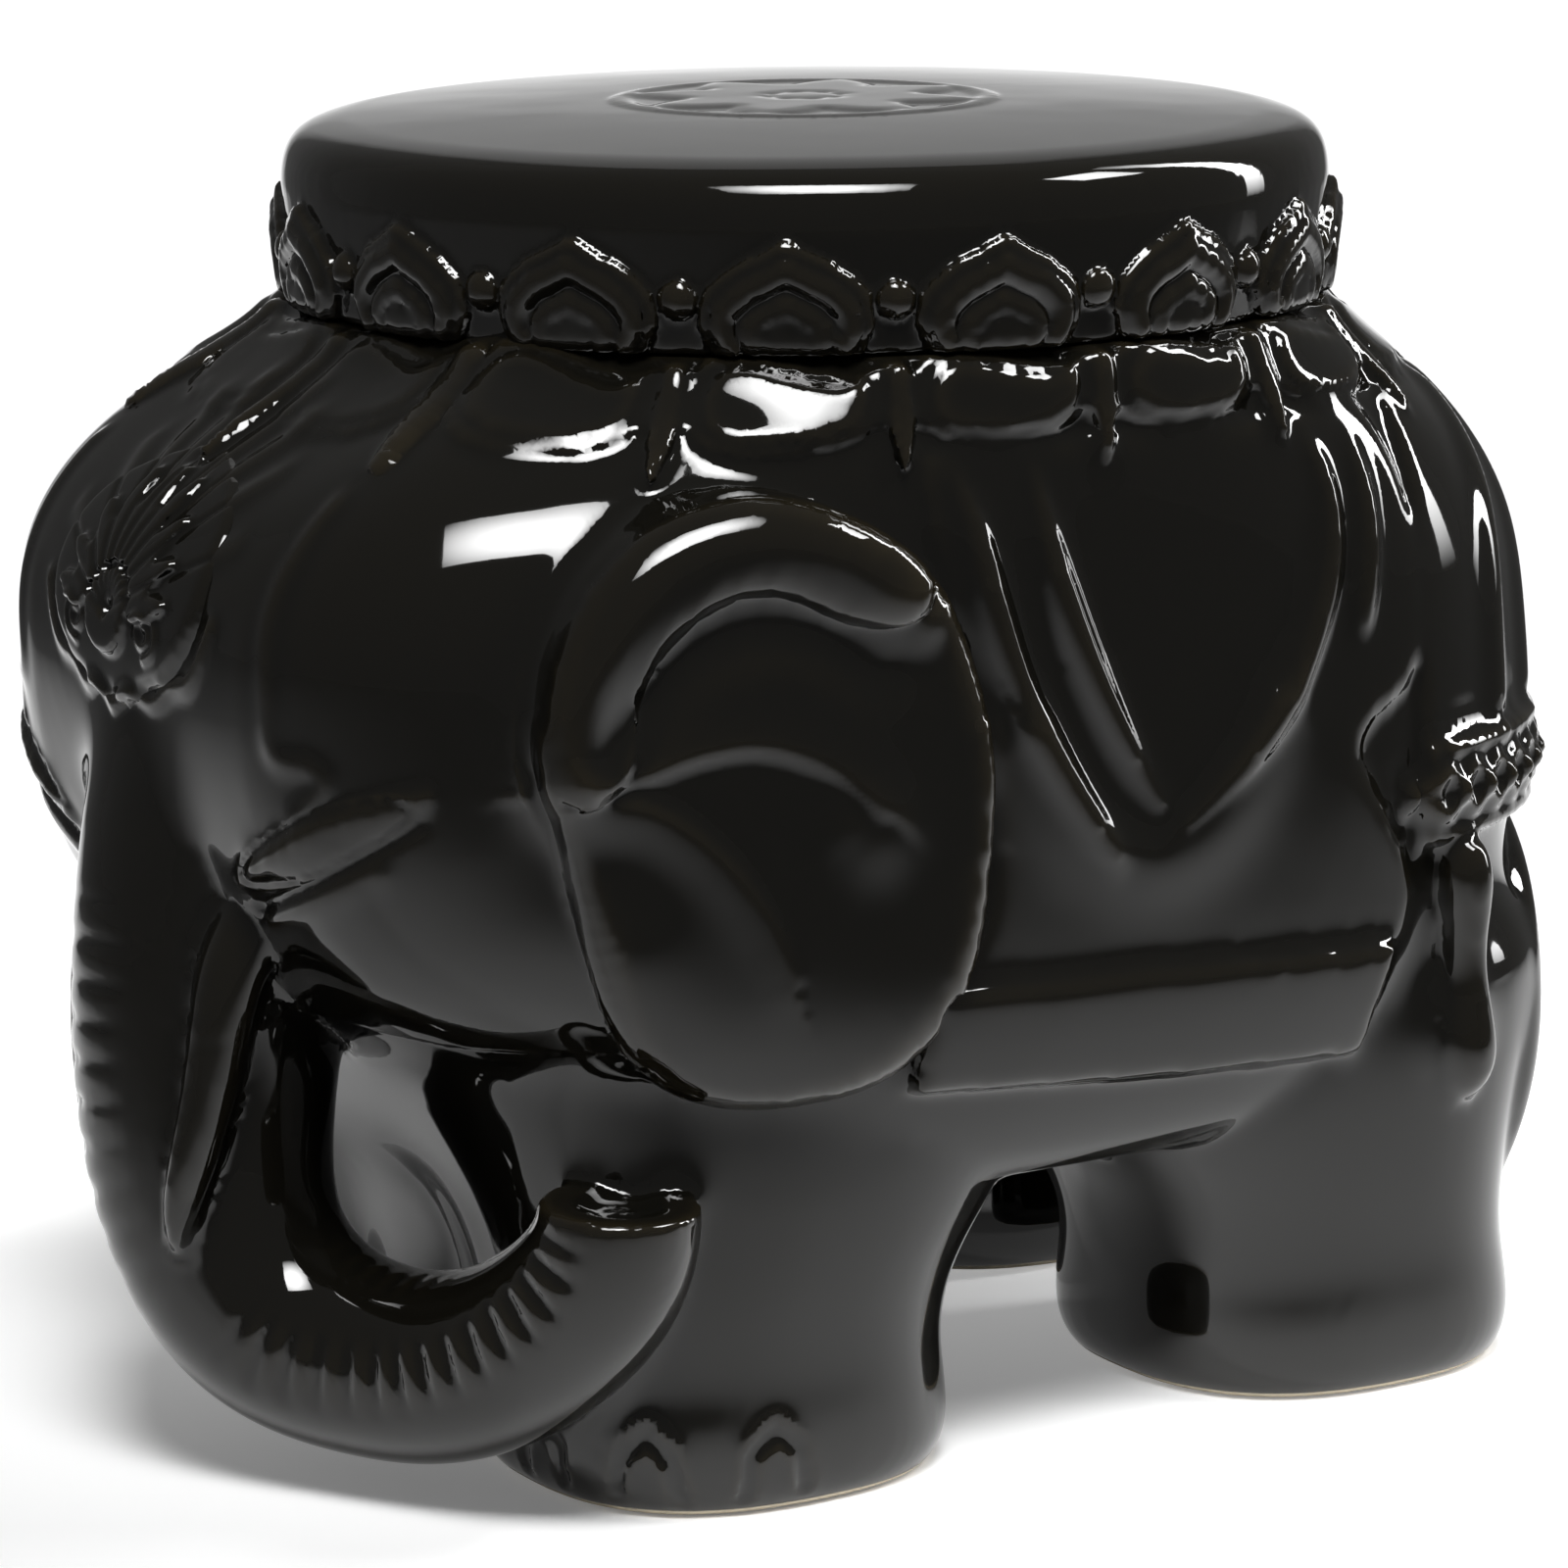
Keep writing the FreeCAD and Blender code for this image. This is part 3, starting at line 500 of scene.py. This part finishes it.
print("pressed the skin from", round(float(push.min()), 1), "to", round(float(push.max()), 1), "mm")

# %% [markdown]
# The crest itself is a thin sprig whose edge is rubbed flat into the head with a wet thumb. A copy of the
# solid would stand there with a cliff all round, so its height over the head is faded out toward its
# edge, and the rim, the veins of the leaves and a curl on each side are tooled on what is left.

# %% Rub the crest into the forehead
CLIFF_HEIGHT = 3.0
CLIFF_FACING = 0.6
EDGE_SINK = 0.4
FEATHER_ROUNDS = 14
CURL_PLACE = (24, 272)
CURL_RADIUS = 8


def feather(skin, rounds):
    pairs, links = neighbours_of(skin)
    places = points_of(skin)
    normals = points_of(skin, "normal")
    under = [body_tree.find_nearest(Vector(p))[:2] for p in places]
    foot = np.array([tuple(u[0]) for u in under])
    away = np.array([tuple(u[1]) for u in under])
    height = np.einsum("ij,ij->i", places - foot, away)
    wall = (np.einsum("ij,ij->i", normals, away) < CLIFF_FACING) & (height < CLIFF_HEIGHT * MM)
    inner = np.where(wall, 0.0, 1.0)[:, None]
    for _ in range(rounds):
        inner = np.where(wall[:, None], 0.0, middle_of_neighbours(inner, pairs, links))
    inner = inner[:, 0]
    top = np.where(height > 0, height * inner - EDGE_SINK * MM * (1 - inner), height)
    put_points(skin, foot + away * top[:, None])


feather(crest_skin, FEATHER_ROUNDS)
soften_all(crest_skin, 5)
x, y, z = side_places(crest_skin)
across = np.abs(y)
push = stroke(SHIELD_RIM, 2.6, 2.6, 2.0, 0.0, across, z)
for tip in LEAF_TIPS:
    push += stroke([CREST_FOOT, tip], 1.3, 1.3, -1.0, 0.3, across, z)
push += stroke(curl(CURL_PLACE, CURL_RADIUS), 1.7, 1.7, 1.3, 0.0, across, z)
push_out(crest_skin, push)
print("rubbed in", crest_skin.name, "with", len(LEAF_TIPS) * 2 - 1, "veins")

# %% [markdown]
# Black glaze is made dark by its thickness. Where it draws back from a raised edge it is thin and the
# brown body shows through. That could be painted, but the shape already says where: each point of the
# skin is compared with the middle of its neighbours, and what stands proud gets a thin-glaze value. The
# normals are kept beside it for the next steps.

# %% Measure where the glaze runs thin
FULLY_THIN = 0.9


def mark_thin(skin):
    pairs, links = neighbours_of(skin)
    places = points_of(skin)
    normals = points_of(skin, "normal")
    spread = places.copy()
    for _ in range(4):
        spread = middle_of_neighbours(spread, pairs, links)
    proud = np.einsum("ij,ij->i", places - spread, normals) / MM
    thin = skin.data.attributes.new("thin", "FLOAT", "POINT")
    thin.data.foreach_set("value", np.clip(proud / FULLY_THIN, 0, 1))
    keep = skin.data.attributes.new("skin_normal", "FLOAT_VECTOR", "POINT")
    keep.data.foreach_set("vector", normals.ravel())
    print(skin.name, "thin share", round(float((proud > FULLY_THIN / 2).mean()), 3))


for skin in (drum_skin, crest_skin, body_skin):
    mark_thin(skin)

# %% [markdown]
# The finish is stoneware under a black, high-gloss glaze: an iron glaze that is almost black where it is
# thick, olive brown where it is thin, with a slow ripple that bends reflections. The foot rims are wiped
# before firing, so bare cream clay shows there. One material carries both, since one dip makes them.

# %% Mix the glaze
THICK_GLAZE = "#0d0c09"
THIN_GLAZE = "#1d1910"
BARE_CLAY = "#cfc3ac"
BARE_TO, GLAZED_FROM = 2.2, 2.8
GLAZE_ROUGHNESS = 0.035
CLAY_ROUGHNESS = 0.75
GLAZE_IOR = 1.52
RIPPLE_LENGTH = 45
RIPPLE_HEIGHT = 0.6


def linear(hex_colour):
    channels = [int(hex_colour[i:i + 2], 16) / 255 for i in (1, 3, 5)]
    out = [c / 12.92 if c <= 0.04045 else ((c + 0.055) / 1.055) ** 2.4 for c in channels]
    return (*out, 1.0)


def add_node(tree, kind, settings=(), links=()):
    node = tree.nodes.new(kind)
    for key, value in dict(settings).items():
        if key in node.inputs:
            node.inputs[key].default_value = value
        else:
            setattr(node, key, value)
    for key, source in dict(links).items():
        tree.links.new(source, node.inputs[key])
    return node


def glaze_material():
    material = bpy.data.materials.new("black_stoneware_glaze")
    material.use_nodes = True
    tree = material.node_tree
    tree.nodes.clear()
    coords = add_node(tree, "ShaderNodeTexCoord")
    thin = add_node(tree, "ShaderNodeAttribute", {"attribute_name": "thin"})
    tint = add_node(tree, "ShaderNodeMix", {"data_type": "RGBA"}, {"Factor": thin.outputs["Fac"]})
    tint.inputs[6].default_value = linear(THICK_GLAZE)
    tint.inputs[7].default_value = linear(THIN_GLAZE)
    split = add_node(tree, "ShaderNodeSeparateXYZ", {}, {"Vector": coords.outputs["Object"]})
    foot = add_node(tree, "ShaderNodeMapRange", {"From Min": BARE_TO * MM, "From Max": GLAZED_FROM * MM},
                    {"Value": split.outputs["Z"]})
    colour = add_node(tree, "ShaderNodeMix", {"data_type": "RGBA"}, {"Factor": foot.outputs["Result"]})
    colour.inputs[6].default_value = linear(BARE_CLAY)
    tree.links.new(tint.outputs[2], colour.inputs[7])
    rough = add_node(tree, "ShaderNodeMapRange", {"To Min": CLAY_ROUGHNESS, "To Max": GLAZE_ROUGHNESS},
                     {"Value": foot.outputs["Result"]})
    ripple = add_node(tree, "ShaderNodeTexNoise", {"Scale": 1 / (RIPPLE_LENGTH * MM), "Detail": 1.0},
                      {"Vector": coords.outputs["Object"]})
    bump = add_node(tree, "ShaderNodeBump", {"Strength": 0.4, "Distance": RIPPLE_HEIGHT * MM},
                    {"Height": ripple.outputs["Fac"]})
    shader = add_node(tree, "ShaderNodeBsdfPrincipled", {"IOR": GLAZE_IOR},
                      {"Base Color": colour.outputs[2], "Roughness": rough.outputs["Result"],
                       "Normal": bump.outputs["Normal"]})
    add_node(tree, "ShaderNodeOutputMaterial", {}, {"Surface": shader.outputs["BSDF"]})
    return material


glaze = glaze_material()
print("mixed", glaze.name)

# %% [markdown]
# The library keeps every part of the stool as a piece of its own, so the skin is cut along the clay
# joints: each face goes to the solid that lies nearest under it. Cutting a smooth skin would leave
# shading lines along the cuts, so each piece keeps the normals that the whole skin had there.

# %% Cut the skin into its pieces
def cut_skin(skin, tree, owner, node_names):
    data = skin.data
    data.materials.clear()
    for name in node_names:
        data.materials.append(bpy.data.materials.new("cut_" + name))
    index = [int(owner[tree.find_nearest(p.center)[2]]) for p in data.polygons]
    data.polygons.foreach_set("material_index", index)
    data.polygons.foreach_set("use_smooth", [True] * len(index))
    data.update()
    make_active(skin)
    bpy.ops.object.mode_set(mode="EDIT")
    bpy.ops.mesh.select_all(action="SELECT")
    bpy.ops.mesh.separate(type="MATERIAL")
    bpy.ops.object.mode_set(mode="OBJECT")
    cut = list(bpy.context.selected_objects)
    for piece in cut:
        name = piece.data.materials[0].name.removeprefix("cut_")
        piece.name = "glazed_" + name
        piece.data.name = piece.name
        piece.data.materials.clear()
        piece.data.materials.append(glaze)
        piece.data.polygons.foreach_set("material_index", [0] * len(piece.data.polygons))
        normals = np.empty(len(piece.data.vertices) * 3)
        piece.data.attributes["skin_normal"].data.foreach_get("vector", normals)
        piece.data.normals_split_custom_set_from_vertices([tuple(v) for v in normals.reshape(-1, 3)])
        piece.data.attributes.remove(piece.data.attributes["skin_normal"])
        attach(piece, "root")
        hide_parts(name)
    print("cut", len(cut), "pieces of", len(node_names), "solids")


cut_skin(drum_skin, drum_tree, drum_owner, DRUM_NODES)
cut_skin(crest_skin, crest_tree, crest_owner, CREST_NODES)
cut_skin(body_skin, body_tree, body_owner, BODY_NODES)

# %% [markdown]
# The stool stands on a plain white sweep: a floor that curves up into a wall behind. A flat plane would
# end in a visible horizon, and the black glaze would mirror it. The sweep is made from a plane whose far
# edge is pulled up, with the fold rounded by a bevel. A strip of it behind the stool glows white for
# camera, mirror and see-through rays alone, so that it casts no light on the stool and the floor keeps
# its shadow.

# %% Set the sweep
CAMERA_HEADING = -31.55
PAPER = "#f4f4f4"
FLOOR_SIZE = (9.0, 6.0)
WALL_HEIGHT = 4.0
FOLD_WIDTH = 1.2
FOLD_SEGMENTS = 16
BEHIND_FADE = (-0.35, 0.9, 0.0, 1.0)
ASIDE_FADE = (0.7, 1.1, 1.0, 0.0)
WALL_FADE = (0.3, 0.8, 1.0, 0.3)


def sweep():
    clear_selection()
    bpy.ops.mesh.primitive_plane_add(size=1, location=(0, 0, 0))
    floor = bpy.context.view_layer.objects.active
    floor.name = "sweep"
    floor.scale = (*FLOOR_SIZE, 1.0)
    bpy.ops.object.transform_apply(location=True, rotation=True, scale=True)
    bpy.ops.object.mode_set(mode="EDIT")
    bpy.ops.mesh.select_mode(type="EDGE")
    bpy.ops.mesh.select_all(action="DESELECT")
    bpy.ops.object.mode_set(mode="OBJECT")
    for edge in floor.data.edges:
        edge.select = all(floor.data.vertices[i].co.y > 0 for i in edge.vertices)
    bpy.ops.object.mode_set(mode="EDIT")
    bpy.ops.mesh.extrude_region_move(TRANSFORM_OT_translate={"value": (0, 0, WALL_HEIGHT)})
    bpy.ops.object.mode_set(mode="OBJECT")
    fold = floor.modifiers.new("fold", "BEVEL")
    fold.width = FOLD_WIDTH
    fold.segments = FOLD_SEGMENTS
    fold.limit_method = "ANGLE"
    bpy.ops.object.modifier_apply(modifier=fold.name)
    bpy.ops.object.shade_smooth()
    heading = Matrix.Rotation(math.radians(CAMERA_HEADING), 4, "Z")
    floor.data.transform(heading)
    floor.data.materials.append(sweep_material())
    return floor


def sweep_material():
    material = bpy.data.materials.new("white_paper_sweep")
    material.use_nodes = True
    tree = material.node_tree
    tree.nodes.clear()
    coords = add_node(tree, "ShaderNodeTexCoord")
    turned = add_node(tree, "ShaderNodeMapping", {"Rotation": (0, 0, math.radians(-CAMERA_HEADING))},
                      {"Vector": coords.outputs["Object"]})
    split = add_node(tree, "ShaderNodeSeparateXYZ", {}, {"Vector": turned.outputs["Vector"]})
    aside = add_node(tree, "ShaderNodeMath", {"operation": "ABSOLUTE"}, {0: split.outputs["X"]})
    rays = add_node(tree, "ShaderNodeLightPath")
    strength = rays.outputs["Is Camera Ray"]
    for ray in ("Is Glossy Ray", "Is Transmission Ray"):
        seen = add_node(tree, "ShaderNodeMath", {"operation": "MAXIMUM"}, {0: strength, 1: rays.outputs[ray]})
        strength = seen.outputs[0]
    places = (split.outputs["Y"], aside.outputs[0], split.outputs["Z"])
    for place, limits in zip(places, (BEHIND_FADE, ASIDE_FADE, WALL_FADE)):
        settings = dict(zip(("From Min", "From Max", "To Min", "To Max"), limits))
        fade = add_node(tree, "ShaderNodeMapRange", settings, {"Value": place})
        less = add_node(tree, "ShaderNodeMath", {"operation": "MULTIPLY"}, {0: strength, 1: fade.outputs[0]})
        strength = less.outputs[0]
    matt = add_node(tree, "ShaderNodeBsdfDiffuse", {"Color": linear(PAPER)})
    glow = add_node(tree, "ShaderNodeEmission", {"Color": linear("#ffffff")}, {"Strength": strength})
    both = add_node(tree, "ShaderNodeAddShader", {}, {0: matt.outputs[0], 1: glow.outputs[0]})
    add_node(tree, "ShaderNodeOutputMaterial", {}, {"Surface": both.outputs[0]})
    return material


floor = sweep()
print("set", floor.name, [round(v, 2) for v in floor.dimensions])

# %% [markdown]
# Studio light: a wide soft box hangs above and in front, which gives the crisp white shapes on the drum
# edge, the forehead and the trunk. A smaller one at the right lights the top of the ear and the blanket,
# and a tall strip draws the long lines on the folds. Each box has a grid, which keeps its light in a pool
# round the stool, so that the pale floor further off goes dim and the glaze that mirrors it stays black.

# %% Hang the lights
WORLD_GREY = "#808080"
WORLD_STRENGTH = 0.6


def soft_box(name, place, aim, size, power, spread):
    clear_selection()
    bpy.ops.object.light_add(type="AREA", location=place)
    lamp = bpy.context.view_layer.objects.active
    lamp.name = name
    lamp.data.shape = "RECTANGLE"
    lamp.data.size, lamp.data.size_y = size
    lamp.data.energy = power
    lamp.data.spread = math.radians(spread)
    lamp.rotation_euler = (Vector(aim) - Vector(place)).to_track_quat("-Z", "Y").to_euler()


soft_box("overhead_box", place=(-0.5, -0.95, 2.0), aim=(0, 0, 0.05), size=(1.1, 0.8), power=3.6, spread=36)
soft_box("right_box", place=(1.05, -0.85, 1.75), aim=(0, 0, 0.25), size=(0.5, 0.4), power=1.0, spread=50)
soft_box("right_strip", place=(1.45, -0.3, 1.0), aim=(0, 0, 0.25), size=(0.2, 1.9), power=3.5, spread=60)
world = bpy.data.worlds.new("dim_studio")
bpy.context.scene.world = world
world.use_nodes = True
world.node_tree.nodes["Background"].inputs["Color"].default_value = linear(WORLD_GREY)
world.node_tree.nodes["Background"].inputs["Strength"].default_value = WORLD_STRENGTH

# %% [markdown]
# The camera stands where the photograph was taken from: about two metres away, a little above the seat,
# on the elephant's left front quarter, with a long lens, so that upright lines stay nearly parallel. Its
# place, heading, pitch and roll were fitted to the rim of the seat and the feet.

# %% Place the camera
CAMERA_PLACE = (-1109.25, -1790.35, 624.91)
CAMERA_PITCH = 11.635
CAMERA_ROLL = -0.515
CAMERA_LENS = 147.85
SENSOR_WIDTH = 36.0
camera_data = bpy.data.cameras.new("camera")
camera = bpy.data.objects.new("camera", camera_data)
bpy.context.scene.collection.objects.link(camera)
turn, pitch, roll = [math.radians(angle) for angle in (-CAMERA_HEADING, CAMERA_PITCH, CAMERA_ROLL)]
ahead = Vector((math.sin(turn) * math.cos(pitch), math.cos(turn) * math.cos(pitch), -math.sin(pitch)))
level = Vector((math.cos(turn), -math.sin(turn), 0.0))
up = level.cross(ahead)
side = level * math.cos(roll) + up * math.sin(roll)
top = up * math.cos(roll) - level * math.sin(roll)
camera.matrix_world = Matrix((
    (side.x, top.x, -ahead.x, SEAT_X + CAMERA_PLACE[0] * MM),
    (side.y, top.y, -ahead.y, CAMERA_PLACE[1] * MM),
    (side.z, top.z, -ahead.z, CAMERA_PLACE[2] * MM),
    (0, 0, 0, 1)))
camera_data.lens = CAMERA_LENS
camera_data.sensor_width = SENSOR_WIDTH
bpy.context.scene.camera = camera
bpy.context.scene.view_settings.view_transform = "Standard"
print("camera at", [round(v, 3) for v in camera.location])
